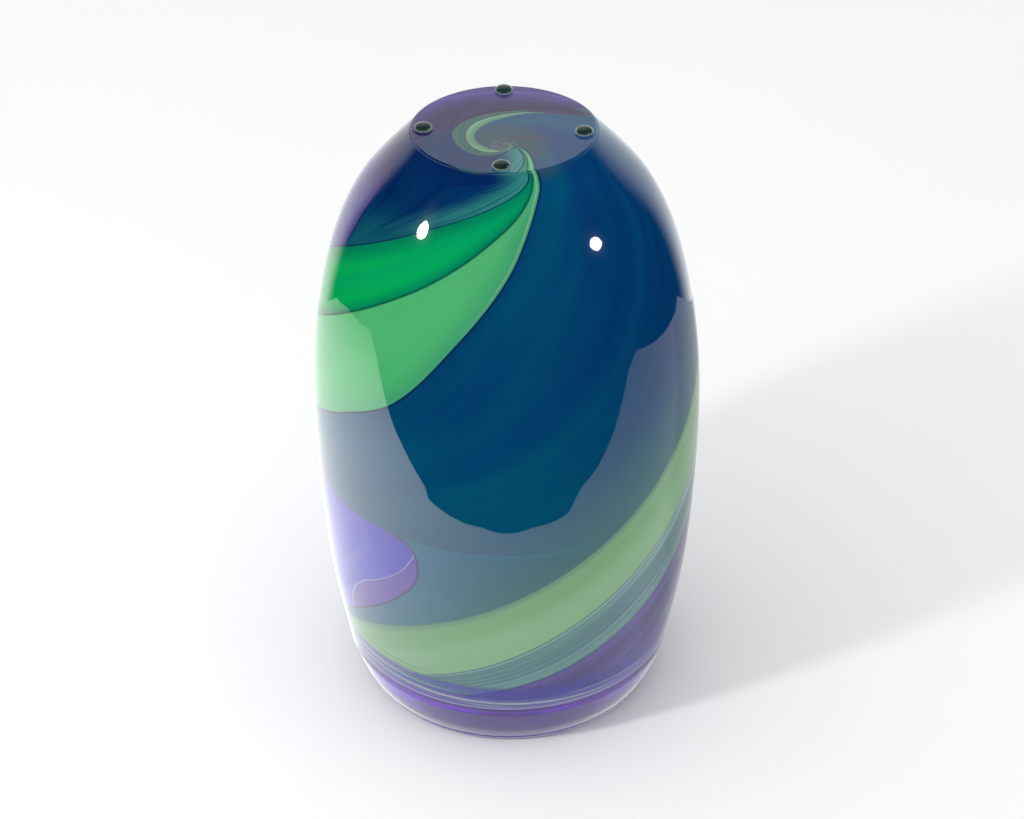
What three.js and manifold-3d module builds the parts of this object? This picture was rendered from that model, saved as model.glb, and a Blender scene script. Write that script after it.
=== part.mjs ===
// Hand blown art glass vase, standing on its mouth with the ground foot on top.
// Millimetres, +Z up. The origin is the centre of the mouth, on the surface that the lip rests on.
// Angles run round the vertical axis from the front (-Y), positive towards the right (+X).
//
// The wall is built as a glassblower builds it: a violet core, a thin overlay of coloured ribbons
// drawn into a spiral, and a clear casing over everything. The casing is thick under the foot, so
// the eye of the spiral lies deep under the ground disc. The lip is a separate wrap of violet glass.

import * as THREE from 'three';
import { mergeVertices } from 'three/addons/utils/BufferGeometryUtils.js';
import Module from 'manifold-3d';

const HEIGHT = 285;             // lip plane to ground foot
const FOOT_RADIUS = 40;         // the flat disc ground on the bottom
const FOOT_BEVEL = 0.8;         // the arris taken off its edge
const LIP_TOP = 22;             // height where the lip wrap meets the wall
const JOINT_GAP = 0.3;          // clearance between pieces of glass that are fused on the real vase
const LAYER_HALF = 0.8;         // half the thickness of the colour overlay
const LAYER_END = 284;          // where the ribbons stop, measured along the glass from the eye
const EYE_RADIUS = 8;           // knot of colour in the middle of the spiral
const AROUND = 32;              // facets round the vase
const ROWS = 15;                // rows along the colour overlay
const OUTSIDE_ROWS = 11;        // rows along the outside of the glass
const CAVITY_ROWS = 9;          // rows along the cavity
const EYE_FACETS = 24;
const SEAM_STEP = 6;            // spacing of the points along a ribbon's edges

const LIP_FLAT = [61, 65.4];    // inner and outer radius of the narrow flat the lip stands on
const LIP_ROUND = 3;            // radius of its two corners
const LIP_STEPS = 3;            // straight pieces along each stretch of its outline

const PAD_RADIUS = 4;           // clear bumper pads on the foot
const PAD_HEIGHT = 2.2;
const PAD_SKIRT = 0.5;          // straight side under the dome
const PAD_FILM = 0.3;           // adhesive film under each pad
const PAD_FILM_RADIUS = 3.7;
const PAD_GAP = 0.1;
const PAD_FACETS = 12;
const PAD_CIRCLE = 34.5;        // radius of the circle the pads sit on
const PAD_ANGLES = { front: -2, right: 82, back: 180, left: -90 };

const v2 = (points) => points.map(([r, z]) => new THREE.Vector2(r, z));

// Meridian curves, as radius and height: the outside of the glass, the middle of the colour
// overlay from the axis down to the lip, and the cavity.
const OUTSIDE = new THREE.SplineCurve(v2([
  [76.5, LIP_TOP], [84.1, 71], [87.4, 128], [86.3, 177], [78.9, 222], [65.1, 256], [FOOT_RADIUS, HEIGHT],
]));
const LAYER = new THREE.SplineCurve(v2([
  [0, 264], [20, 264], [38, 262.5], [51, 258], [60, 249.5], [66.5, 238.5],
  [74.2, 221], [81.3, 176], [82.4, 128], [79.1, 71.5], [71.2, LIP_TOP],
]));
const CAVITY = new THREE.SplineCurve(v2([
  [0, 249], [26, 247], [47, 237], [63, 216], [75.5, 176], [77.5, 128], [74.3, 71.5], [65.6, LIP_TOP],
]));
LAYER.arcLengthDivisions = 400;
const LAYER_LENGTH = LAYER.getLength();

// Seams between colours. Each point is [distance from the eye along the glass, angle].
// A seam winds clockwise, seen from above, on its way down the wall.
const SEAM = {
  shoulderToEmerald: [
    [6, 62], [12, 42], [20, 24], [31, 0], [50, -32], [82.5, -79], [128, -135], [190, -212],
    [250, -268], [290, -297],
  ],
  emeraldToSpring: [
    [6, 64], [12, 46], [22, 27], [47.5, 0], [76, -31], [116.5, -79], [150, -122], [200, -186],
    [250, -245], [290, -280],
  ],
  springToField: [
    [6, 70], [12, 54], [20, 37], [36, 19], [69, 0], [94.5, -15], [129.5, -36], [145, -54],
    [162.5, -79], [200, -158], [244, -215], [290, -263],
  ],
  fieldToGreen: [
    [6, 315], [8.5, 282], [11, 263], [14, 246], [20, 205], [25, 178], [31, 158], [37, 140],
    [44, 128], [60, 120], [100, 105], [138, 87], [184.5, 46], [225, 0], [257.5, -47], [290, -95],
  ],
  greenToAqua: [
    [6, 348], [10, 312], [13, 285], [16, 260], [21, 229], [26, 199], [30, 172], [37, 147],
    [44, 132], [60, 124], [100, 118], [150, 108], [189, 79], [221, 46], [259, 0], [279, -31],
    [290, -55],
  ],
  aquaToViolet: [
    [6, 372], [10, 340], [15, 308], [21, 267], [28, 231], [34, 196], [40, 162], [46, 145],
    [52, 137], [60, 132], [110, 133], [150, 128], [190, 106], [221, 79], [251, 46], [272, 15],
    [290, -24],
  ],
  violetToShoulder: [
    [28, 238], [32, 249], [39, 266], [46, 280], [66, 286], [80, 284], [88, 277], [100, 261],
  ],
  windowEdge: [
    [192, -31], [217, -29], [231.5, -39], [250.5, -56], [265, -70], [278, -92], [290, -118],
  ],
};
// Where a ribbon starts or stops.
const RIBBON_START = 10;        // just outside the eye
const VIOLET_START = 30;        // the violet panel opens between aqua and shoulder here
const SHOULDER_END = 78;        // the shoulder runs out against the emerald ribbon
const FRONT_START = 16;         // the emerald and spring ribbons come to a point short of the eye
const WINDOW_TOP = 197;         // upper edge of the window left open in the field
// The wedges that cut a ribbon out of the overlay.
const CUT_REACH = 3;            // how far a wedge stands past each face of the overlay
const CUT_COLUMNS = 20;         // facets across a wedge
const CUT_LEAST = 0.2;          // least width of a wedge, in degrees
const CUT_END = LAYER_END + 1;  // wedges run past the end of the overlay
const OVERLAP = 0.5;            // wedges of one ribbon run into each other by this much
const TURN = 360;

// Angle of a seam at distance s: a cubic through the points, with each slope from its neighbours.
function seamAngle(points, s) {
  const last = points.length - 1;
  let k = 0;
  while (k < last - 1 && s > points[k + 1][0]) {
    k += 1;
  }
  const slope = (i) => {
    const a = points[Math.max(i - 1, 0)];
    const b = points[Math.min(i + 1, last)];
    return (b[1] - a[1]) / (b[0] - a[0]);
  };
  const [s0, a0] = points[k];
  const [s1, a1] = points[k + 1];
  const h = s1 - s0;
  const t = (s - s0) / h;
  const rise = a1 - a0;
  const early = (1 - t) * (slope(k) * h - rise);
  const late = t * (slope(k + 1) * h - rise);
  return a0 + rise * t + t * (1 - t) * (early - late);
}

// A point beside the colour layer: s along it, offset outwards along its normal.
function layerPoint(s, offset) {
  const u = Math.min(s / LAYER_LENGTH, 1);
  const p = LAYER.getPointAt(u);
  const t = LAYER.getTangentAt(u);
  const r = u === 0 ? 0 : Math.max(p.x - t.y * offset, 0);
  return new THREE.Vector2(r, p.y + t.x * offset);
}

const polar = (r, degrees, z) => {
  const a = THREE.MathUtils.degToRad(degrees);
  return new THREE.Vector3(r * Math.sin(a), -r * Math.cos(a), z);
};

// Turns a meridian profile round the vertical axis. A profile runs up its outer side.
function turned(profile, segments = AROUND) {
  const geometry = new THREE.LatheGeometry(profile, segments);
  geometry.rotateX(Math.PI / 2);
  return geometry;
}

const wasm = await Module();
wasm.setup();

const MERGE_WITHIN = 1e-4;      // vertices nearer than this are one

function toSolid(geometry) {
  const bare = geometry.clone();
  bare.deleteAttribute('normal');
  bare.deleteAttribute('uv');
  const merged = mergeVertices(bare, MERGE_WITHIN);
  const triangles = [];
  for (let i = 0; i < merged.index.count; i += 3) {
    const [a, b, c] = [0, 1, 2].map((j) => merged.index.getX(i + j));
    if (a !== b && b !== c && c !== a) {
      triangles.push(a, b, c);
    }
  }
  return new wasm.Manifold(new wasm.Mesh({
    numProp: 3,
    vertProperties: Float32Array.from(merged.attributes.position.array),
    triVerts: Uint32Array.from(triangles),
  }));
}

function toGeometry(solid) {
  const mesh = solid.getMesh();
  const geometry = new THREE.BufferGeometry();
  geometry.setAttribute('position', new THREE.BufferAttribute(Float32Array.from(mesh.vertProperties), 3));
  geometry.setIndex(new THREE.BufferAttribute(Uint32Array.from(mesh.triVerts), 1));
  geometry.computeVertexNormals();
  return geometry;
}

// The colour overlay before it is divided: a thin shell, closed on the axis at the eye.
function overlayShell() {
  const stations = Array.from({ length: ROWS + 1 }, (_, i) => (LAYER_END * i) / ROWS);
  const inner = stations.map((s) => layerPoint(s, -LAYER_HALF));
  const outer = stations.map((s) => layerPoint(s, LAYER_HALF)).reverse();
  return toSolid(turned([...inner, ...outer]));
}

// A wedge that crosses the overlay between two seams, used to cut one ribbon out of it. Half the
// joint gap is taken off along each seam, measured square to the seam. The seams run straight
// between shared stations, so that the ribbons on both sides follow the same line.
function wedge(seamA, seamB, from, to, turnB = 0) {
  const stations = [from];
  for (let k = Math.floor(from / SEAM_STEP) + 1; k * SEAM_STEP < to; k += 1) {
    stations.push(k * SEAM_STEP);
  }
  stations.push(to);
  const edge = (seam, s, side) => {
    const r = Math.max(layerPoint(s, 0).x, 1);
    const slope = THREE.MathUtils.degToRad(seamAngle(seam, s + 1) - seamAngle(seam, s - 1)) / 2;
    const inset = (JOINT_GAP / 2) * Math.hypot(1, r * slope);
    return seamAngle(seam, s) + side * THREE.MathUtils.radToDeg(inset / r);
  };
  const atStation = (s, j, k) => {
    const a = edge(seamA, s, 1);
    const b = edge(seamB, s, -1) + turnB;
    const p = layerPoint(s, k ? CUT_REACH : -CUT_REACH);
    return polar(p.x, a + (Math.max(b - a, CUT_LEAST) * j) / CUT_COLUMNS, p.y);
  };
  const at = (i, j, k) => {
    const below = Math.floor(stations[i] / SEAM_STEP) * SEAM_STEP;
    const share = (stations[i] - below) / SEAM_STEP;
    return atStation(below, j, k).lerp(atStation(below + SEAM_STEP, j, k), share);
  };
  return toSolid(boxGrid(stations.length - 1, CUT_COLUMNS, at));
}

// A closed six-sided solid from a grid of points: rows, columns and two layers. The walls at both
// ends of a row are split along the same diagonal, so that neighbouring solids lie side by side.
function boxGrid(rows, columns, at) {
  const positions = [];
  const index = [];
  const id = (i, j, k) => (i * (columns + 1) + j) * 2 + k;
  for (let i = 0; i <= rows; i += 1) {
    for (let j = 0; j <= columns; j += 1) {
      positions.push(...at(i, j, 0).toArray(), ...at(i, j, 1).toArray());
    }
  }
  const quad = (a, b, c, d) => index.push(a, b, c, a, c, d);
  for (let i = 0; i < rows; i += 1) {
    for (let j = 0; j < columns; j += 1) {
      quad(id(i, j, 1), id(i + 1, j, 1), id(i + 1, j + 1, 1), id(i, j + 1, 1));
      quad(id(i, j, 0), id(i, j + 1, 0), id(i + 1, j + 1, 0), id(i + 1, j, 0));
    }
    quad(id(i, 0, 0), id(i + 1, 0, 0), id(i + 1, 0, 1), id(i, 0, 1));
    quad(id(i, columns, 0), id(i, columns, 1), id(i + 1, columns, 1), id(i + 1, columns, 0));
  }
  for (let j = 0; j < columns; j += 1) {
    quad(id(0, j, 0), id(0, j, 1), id(0, j + 1, 1), id(0, j + 1, 0));
    quad(id(rows, j, 0), id(rows, j + 1, 0), id(rows, j + 1, 1), id(rows, j, 1));
  }
  const geometry = new THREE.BufferGeometry();
  geometry.setAttribute('position', new THREE.Float32BufferAttribute(positions, 3));
  geometry.setIndex(index);
  return geometry;
}

const vase = new THREE.Group();

function add(name, geometry, color, { roughness = 0.03, opacity = 1 } = {}) {
  const material = new THREE.MeshStandardMaterial({ color, roughness, metalness: 0 });
  material.opacity = opacity;
  material.transparent = opacity < 1;
  const mesh = new THREE.Mesh(geometry, material);
  mesh.name = name;
  vase.add(mesh);
  return mesh;
}

// --- Glass walls -------------------------------------------------------------------------------

// Inner or outer face of the overlay's bed, which steps to the joint line where the ribbons stop.
function bed(side) {
  const full = LAYER_HALF + JOINT_GAP;
  const step = LAYER_END + JOINT_GAP;
  const stations = Array.from({ length: ROWS + 1 }, (_, i) => (step * i) / ROWS);
  const face = stations.map((s) => layerPoint(s, side * full));
  face.push(layerPoint(step, (side * JOINT_GAP) / 2));
  const foot = layerPoint(LAYER_LENGTH, (side * JOINT_GAP) / 2);
  face.push(new THREE.Vector2(foot.x, LIP_TOP + JOINT_GAP));
  return face;
}

function clearCasing() {
  const outside = OUTSIDE.getSpacedPoints(OUTSIDE_ROWS).slice(0, -1);
  outside[0].y += JOINT_GAP;
  return turned([
    ...bed(1),
    ...outside,
    ...v2([[FOOT_RADIUS, HEIGHT - FOOT_BEVEL], [FOOT_RADIUS - FOOT_BEVEL, HEIGHT], [0, HEIGHT]]),
  ]);
}

function violetCore() {
  const cavity = CAVITY.getSpacedPoints(CAVITY_ROWS);
  cavity[cavity.length - 1].y += JOINT_GAP;
  return turned([...cavity, ...bed(-1).reverse()]);
}

// The lip leans in to the mouth and is rounded onto a narrow flat that it stands on.
function lipWrap() {
  const [flatIn, flatOut] = LIP_FLAT;
  const corner = (r, from, to) => {
    const arc = new THREE.EllipseCurve(r, LIP_ROUND, LIP_ROUND, LIP_ROUND, from, to, false);
    return arc.getPoints(LIP_STEPS);
  };
  const inner = new THREE.SplineCurve(v2([[65.6, LIP_TOP], [61.2, 10], [flatIn - LIP_ROUND, LIP_ROUND]]));
  const outer = new THREE.SplineCurve(v2([[flatOut + LIP_ROUND, LIP_ROUND], [72.2, 10], [76.5, LIP_TOP]]));
  const profile = [
    ...inner.getPoints(LIP_STEPS).slice(0, -1),
    ...corner(flatIn, Math.PI, 1.5 * Math.PI),
    ...corner(flatOut, 1.5 * Math.PI, 2 * Math.PI),
    ...outer.getPoints(LIP_STEPS).slice(1),
  ];
  return turned([...profile, profile[0].clone()]);
}

add('clear_casing', clearCasing(), '#e8f0f2', { opacity: 0.3 });
add('violet_core', violetCore(), '#5a3fb4', { opacity: 0.5 });
add('lip_wrap', lipWrap(), '#6a45b8', { opacity: 0.5 });

// --- Colour overlay ----------------------------------------------------------------------------

const shell = overlayShell();
const ribbon = (...wedges) => toGeometry(shell.intersect(wedges.reduce((all, next) => all.add(next))));

add('swirl_eye', turned([
  new THREE.Vector2(0, layerPoint(0, -LAYER_HALF).y),
  layerPoint(EYE_RADIUS, -LAYER_HALF),
  layerPoint(EYE_RADIUS, LAYER_HALF),
  new THREE.Vector2(0, layerPoint(0, LAYER_HALF).y),
], EYE_FACETS), '#5b3a4c');

add('navy_field', ribbon(
  wedge(SEAM.springToField, SEAM.fieldToGreen, RIBBON_START, WINDOW_TOP),
  wedge(SEAM.windowEdge, SEAM.fieldToGreen, WINDOW_TOP - OVERLAP, CUT_END),
), '#053a5c');

add('navy_shoulder', ribbon(
  wedge(SEAM.aquaToViolet, SEAM.shoulderToEmerald, RIBBON_START, VIOLET_START, TURN),
  wedge(SEAM.violetToShoulder, SEAM.shoulderToEmerald, VIOLET_START - OVERLAP, SHOULDER_END, TURN),
), '#04304e');

add('violet_panel', ribbon(
  wedge(SEAM.aquaToViolet, SEAM.violetToShoulder, VIOLET_START + JOINT_GAP, SHOULDER_END + OVERLAP),
  wedge(SEAM.aquaToViolet, SEAM.shoulderToEmerald, SHOULDER_END + JOINT_GAP, CUT_END, TURN),
), '#6d5ad0', { opacity: 0.5 });

add('violet_window', ribbon(
  wedge(SEAM.springToField, SEAM.windowEdge, WINDOW_TOP + JOINT_GAP, CUT_END),
), '#7a66d6', { opacity: 0.5 });

add('emerald_ribbon', ribbon(
  wedge(SEAM.shoulderToEmerald, SEAM.emeraldToSpring, FRONT_START, CUT_END),
), '#00a050');

add('spring_ribbon_upper', ribbon(
  wedge(SEAM.emeraldToSpring, SEAM.springToField, FRONT_START, CUT_END),
), '#55be6e');

add('spring_ribbon_lower', ribbon(
  wedge(SEAM.fieldToGreen, SEAM.greenToAqua, RIBBON_START, CUT_END),
), '#66be74');

add('aqua_ribbon', ribbon(
  wedge(SEAM.greenToAqua, SEAM.aquaToViolet, RIBBON_START, CUT_END),
), '#5fb0a0', { opacity: 0.6 });

// --- Bumper pads -------------------------------------------------------------------------------

// A round pad: a short straight side, then a dome.
function padDome() {
  const rise = PAD_HEIGHT - PAD_SKIRT;
  const dome = new THREE.EllipseCurve(0, PAD_SKIRT, PAD_RADIUS, rise, 0, Math.PI / 2, false);
  return turned([...v2([[0, 0], [PAD_RADIUS, 0]]), ...dome.getPoints(3)], PAD_FACETS);
}

function padFilm() {
  const r = PAD_FILM_RADIUS;
  return turned(v2([[0, 0], [r, 0], [r, PAD_FILM], [0, PAD_FILM]]), PAD_FACETS);
}

Object.entries(PAD_ANGLES).forEach(([place, angle]) => {
  const film = add(`pad_film_${place}`, padFilm(), '#c9cfc8', { roughness: 0.4, opacity: 0.5 });
  film.position.copy(polar(PAD_CIRCLE, angle, HEIGHT + PAD_GAP));
  const pad = add(`bumper_pad_${place}`, padDome(), '#dfe4e0', { roughness: 0.1, opacity: 0.4 });
  pad.position.copy(polar(PAD_CIRCLE, angle, HEIGHT + PAD_FILM + 2 * PAD_GAP));
});

export default vase;
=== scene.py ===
"""Looks of the hand blown art glass vase, standing on its mouth with the ground foot on top.

Metres, +Z up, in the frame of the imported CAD. Angles run round the vertical axis from the front
(-Y), positive towards +X. A distance s runs along the middle of the colour layer from its eye.
"""

import math

import bpy
import numpy as np
from mathutils import Matrix, Vector


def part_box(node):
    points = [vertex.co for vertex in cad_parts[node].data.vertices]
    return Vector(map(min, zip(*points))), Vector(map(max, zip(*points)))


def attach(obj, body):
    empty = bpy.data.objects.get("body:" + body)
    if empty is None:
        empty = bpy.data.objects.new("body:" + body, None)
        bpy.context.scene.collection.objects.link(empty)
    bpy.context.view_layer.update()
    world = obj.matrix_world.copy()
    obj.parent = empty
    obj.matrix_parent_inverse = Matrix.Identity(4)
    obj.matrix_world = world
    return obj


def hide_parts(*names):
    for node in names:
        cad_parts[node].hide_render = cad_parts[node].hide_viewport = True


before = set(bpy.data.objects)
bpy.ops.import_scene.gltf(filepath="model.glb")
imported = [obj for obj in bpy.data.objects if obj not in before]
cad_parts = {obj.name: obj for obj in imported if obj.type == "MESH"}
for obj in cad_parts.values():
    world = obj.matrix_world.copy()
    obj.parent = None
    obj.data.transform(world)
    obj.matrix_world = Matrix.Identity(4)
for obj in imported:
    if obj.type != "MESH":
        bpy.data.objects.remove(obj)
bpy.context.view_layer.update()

MM = 0.001
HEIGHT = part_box("clear_casing")[1].z
LIP_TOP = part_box("violet_core")[0].z
PADS = ("front", "right", "back", "left")
IOR = 1.5
PAD_SINK = 0.00003      # a pad is stuck down without air, so its underside lies just within the glass

# --- Driving sizes, in millimetres, as in the CAD ------------------------------------------------

FOOT_RADIUS = 40
FOOT_BEVEL = 0.5
OUTSIDE = [(76.5, 22), (84.1, 71), (87.4, 128), (86.3, 177), (78.9, 222), (65.1, 256), (40, 285)]
LAYER = [(0, 264), (20, 264), (38, 262.5), (51, 258), (60, 249.5), (66.5, 238.5),
         (74.2, 221), (81.3, 176), (82.4, 128), (79.1, 71.5), (71.2, 22)]
CAVITY = [(0, 249), (26, 247), (47, 237), (63, 216), (75.5, 176), (77.5, 128), (74.3, 71.5),
          (65.6, 22)]
LIP_INNER = [(65.6, 22), (61.2, 10), (58, 3)]
LIP_OUTER = [(68.4, 3), (72.2, 10), (76.5, 22)]
LIP_FLAT = (61, 65.4)
LIP_ROUND = 3

# Seams between colours, as (s, angle).
SHOULDER_EMERALD = [(6, 62), (12, 42), (20, 24), (31, 0), (50, -32), (82.5, -79), (128, -135),
                    (190, -212), (250, -268), (290, -297)]
EMERALD_SPRING = [(6, 64), (12, 46), (22, 27), (47.5, 0), (76, -31), (116.5, -79), (150, -122),
                  (200, -186), (250, -245), (290, -280)]
SPRING_FIELD = [(6, 70), (12, 54), (20, 37), (36, 19), (69, 0), (94.5, -15), (129.5, -36), (145, -54),
                (162.5, -79), (200, -158), (244, -215), (290, -263)]
FIELD_GREEN = [(6, 315), (8.5, 282), (11, 263), (14, 246), (20, 205), (25, 178), (31, 158), (37, 140),
               (44, 128), (60, 120), (100, 105), (138, 87), (184.5, 46), (225, 0), (257.5, -47),
               (290, -95)]
GREEN_AQUA = [(6, 348), (10, 312), (13, 285), (16, 260), (21, 229), (26, 199), (30, 172), (37, 147),
              (44, 132), (60, 124), (100, 118), (150, 108), (189, 79), (221, 46), (259, 0), (279, -31),
              (290, -55)]
AQUA_VIOLET = [(6, 372), (10, 340), (15, 308), (21, 267), (28, 231), (34, 196), (40, 162), (46, 145),
               (52, 137), (60, 132), (110, 133), (150, 128), (190, 106), (221, 79), (251, 46), (272, 15),
               (290, -24)]
VIOLET_SHOULDER = [(28, 238), (32, 249), (39, 266), (46, 280), (66, 286), (80, 284), (88, 277),
                   (100, 261)]
# The lower edge of the violet window. The CAD's lies up to 7 mm nearer the eye.
WINDOW_EDGE = [(192, -31), (218, -29), (238, -40), (255, -56), (267, -70), (278, -92), (290, -118)]

EYE_RADIUS = 6.2
EYE_WINDING = 2.2       # radians that the colours turn for each factor e towards the middle
EYE_CORE = 0.6          # radius inside which they are wound no further
EYE_RIM = 0.4           # the eye would thin out to nothing this far outside its radius
EYE_MIDDLE = 0.02       # radius of the points at its middle
RIBBON_START = 6
RIBBON_END = 287
RIBBON_STEP = 2.0       # length of a ribbon's faces
LEAST_TURN = 0.1        # the colours of a ribbon are spread over at least this many degrees
FRAY_START = 275        # the ribbons run out in streaks from here
FRAY_END = 285          # to here
FRAY_REACH = 16         # threads end at most half of this before or after their ribbon
TRAIL_START = 268       # threads of colour that the ribbons leave behind, above the lip
TRAIL_DEPTHS = (0.7, 1.0)       # how deep these threads lie under the middle of the colour layer
VIOLET_START = 30
SHOULDER_END = 78
WINDOW_TOP = 197
WINDOW_TIP = 205        # where the rounded tip of the window is widest
TIP_TURN = 11           # degrees that the rounding takes off the window's top corner
SHEET_HALF = 0.4        # half the thickness of a ribbon
SEAM_GAP = 0.02
LINING_GAP = 0.15       # clear glass round the violet lining
LIP_GAP = 0.12          # clear glass round the violet lip
LIP_CUT = 0.2           # the violet lip ends this far or a little more under the CAD's core
PAD_SKIRT = 0.25        # share of a pad's height that is upright
PAD_BEVEL = 0.2
FILM_BEVEL = 0.1


# --- Curves --------------------------------------------------------------------------------------

def spline(points, steps=24):
    """A Catmull-Rom curve through the points, as the CAD draws it, with steps to each stretch."""
    p = np.array(points, float)
    padded = np.vstack([p[:1], p, p[-1:]])
    t = np.linspace(0, 1, steps, endpoint=False)[:, None]
    stretches = []
    for a, b, c, d in zip(padded, padded[1:], padded[2:], padded[3:]):
        v0 = (c - a) / 2
        v1 = (d - b) / 2
        square = 3 * (c - b) - 2 * v0 - v1
        cube = 2 * (b - c) + v0 + v1
        stretches.append(b + v0 * t + square * t**2 + cube * t**3)
    return np.vstack(stretches + [p[-1:]])


def arc(centre, radius, start, end, steps=8):
    """Points on part of a circle. The angles are in degrees from the first axis to the second."""
    a = np.radians(np.linspace(start, end, steps))
    return np.array(centre) + radius * np.column_stack([np.cos(a), np.sin(a)])


layer_line = spline(LAYER, 60)
layer_steps = np.gradient(layer_line, axis=0)
layer_tangents = layer_steps / np.linalg.norm(layer_steps, axis=1)[:, None]
layer_s = np.concatenate([[0], np.cumsum(np.linalg.norm(np.diff(layer_line, axis=0), axis=1))])


def layer_point(s, offset=0.0):
    """Radius and height of points beside the colour layer, offset outwards, in millimetres."""
    r, z = (np.interp(s, layer_s, layer_line[:, k]) for k in (0, 1))
    tr, tz = (np.interp(s, layer_s, layer_tangents[:, k]) for k in (0, 1))
    return np.maximum(r - tz * offset, 0), z + tr * offset


def seam(points, turn=0.0):
    """The angle of a seam as a function of s: a cubic, with each slope from its neighbours."""
    s, a = np.array(points, float).T
    before = np.maximum(np.arange(len(s)) - 1, 0)
    after = np.minimum(np.arange(len(s)) + 1, len(s) - 1)
    slopes = (a[after] - a[before]) / (s[after] - s[before])

    def angle(at):
        k = np.clip(np.searchsorted(s, at) - 1, 0, len(s) - 2)
        h = s[k + 1] - s[k]
        t = (at - s[k]) / h
        rise = a[k + 1] - a[k]
        bend = t * (1 - t) * ((1 - t) * (slopes[k] * h - rise) - t * (slopes[k + 1] * h - rise))
        return a[k] + rise * t + bend + turn

    return angle


# --- Meshes --------------------------------------------------------------------------------------

def polar(r, degrees, z):
    """Points at a radius, an angle from the front and a height."""
    a = np.radians(degrees)
    return np.stack(np.broadcast_arrays(r * np.sin(a), -r * np.cos(a), z), axis=-1)


def piece(name, points, faces, material, uvs=None, sharp=35):
    """A mesh object from points in millimetres, with its faces turned outwards and shaded smooth."""
    points = np.asarray(points, float).reshape(-1, 3) * MM
    mesh = bpy.data.meshes.new(name)
    mesh.from_pydata(points.tolist(), [], [list(map(int, f)) for f in faces])
    for layer, values in (uvs or {}).items():
        uv = mesh.uv_layers.new(name=layer)
        corner = np.zeros(len(mesh.loops), np.int32)
        mesh.loops.foreach_get("vertex_index", corner)
        uv.data.foreach_set("uv", np.asarray(values, np.float32).reshape(-1, 2)[corner].ravel())
    if signed_volume(points, faces) < 0:
        mesh.flip_normals()
    mesh.shade_smooth()
    mesh.set_sharp_from_angle(angle=math.radians(sharp))
    mesh.validate()
    mesh.materials.append(material)
    obj = bpy.data.objects.new(name, mesh)
    bpy.context.scene.collection.objects.link(obj)
    return obj


def signed_volume(points, faces):
    """Six times the volume inside the faces: below zero if they face inwards."""
    points = np.asarray(points, float)
    total = 0.0
    for size in {len(f) for f in faces}:
        corners = points[np.array([f for f in faces if len(f) == size], int)]
        for k in range(1, size - 1):
            total += np.einsum("ij,ij->", corners[:, 0], np.cross(corners[:, k], corners[:, k + 1]))
    return total


def turned(profile, segments=256):
    """Points and faces of a profile turned round the axis.

    The profile starts and ends on the axis, or closes on itself.
    """
    profile = np.asarray(profile, float)
    closed = profile[0, 0] > 0
    rings = profile if closed else profile[1:-1]
    angles = np.arange(segments) * 360 / segments
    points = polar(rings[:, :1], angles[None, :], rings[:, 1:]).reshape(-1, 3)
    index = np.arange(len(rings) * segments).reshape(len(rings), segments)
    beside = np.roll(index, -1, axis=1)
    rows = range(len(rings) if closed else len(rings) - 1)
    faces = []
    for i in rows:
        j = (i + 1) % len(rings)
        faces += zip(index[i], beside[i], beside[j], index[j])
    if not closed:
        ends = polar(0.0, 0.0, profile[[0, -1], 1])
        first = len(points)
        points = np.vstack([points, ends])
        faces += [(first, b, a) for a, b in zip(index[0], beside[0])]
        faces += [(first + 1, a, b) for a, b in zip(index[-1], beside[-1])]
    return points, faces


def thickened(outer, inner, cells):
    """A closed sheet from two grids of points: its points, its faces and the places of the points used.

    cells says which squares of the grid are there.
    """
    rows, columns = outer.shape[:2]
    top = np.arange(rows * columns).reshape(rows, columns)
    under = top + rows * columns
    faces = []
    for i, j in zip(*np.nonzero(cells)):
        corners = [(i, j), (i + 1, j), (i + 1, j + 1), (i, j + 1)]
        faces.append([top[c] for c in corners])
        faces.append([under[c] for c in reversed(corners)])
        beside = [(i, j - 1), (i + 1, j), (i, j + 1), (i - 1, j)]
        for a, b, (k, m) in zip(corners, corners[1:] + corners[:1], beside):
            inside = 0 <= k < cells.shape[0] and 0 <= m < cells.shape[1] and cells[k, m]
            if not inside:
                faces.append([top[b], top[a], under[a], under[b]])
    points = np.concatenate([outer.reshape(-1, 3), inner.reshape(-1, 3)])
    used = np.unique(np.concatenate([np.array(f) for f in faces]))
    new = np.zeros(len(points), int)
    new[used] = np.arange(len(used))
    return points[used], [[new[v] for v in f] for f in faces], used


def edge_distance(angles, edge, s, r):
    """Distance from a seam, square to it, in millimetres."""
    slope = np.radians(edge(s + 1) - edge(s - 1)) / 2
    return np.abs(np.radians(angles - edge(s)[:, None])) * r[:, None] / np.hypot(1, r * slope)[:, None]


def layer_grid(s, offset, angles):
    """Points beside the colour layer: a row for each s, with its own angles."""
    r, z = layer_point(s, offset)
    return polar(r[:, None], angles, z[:, None])


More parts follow.
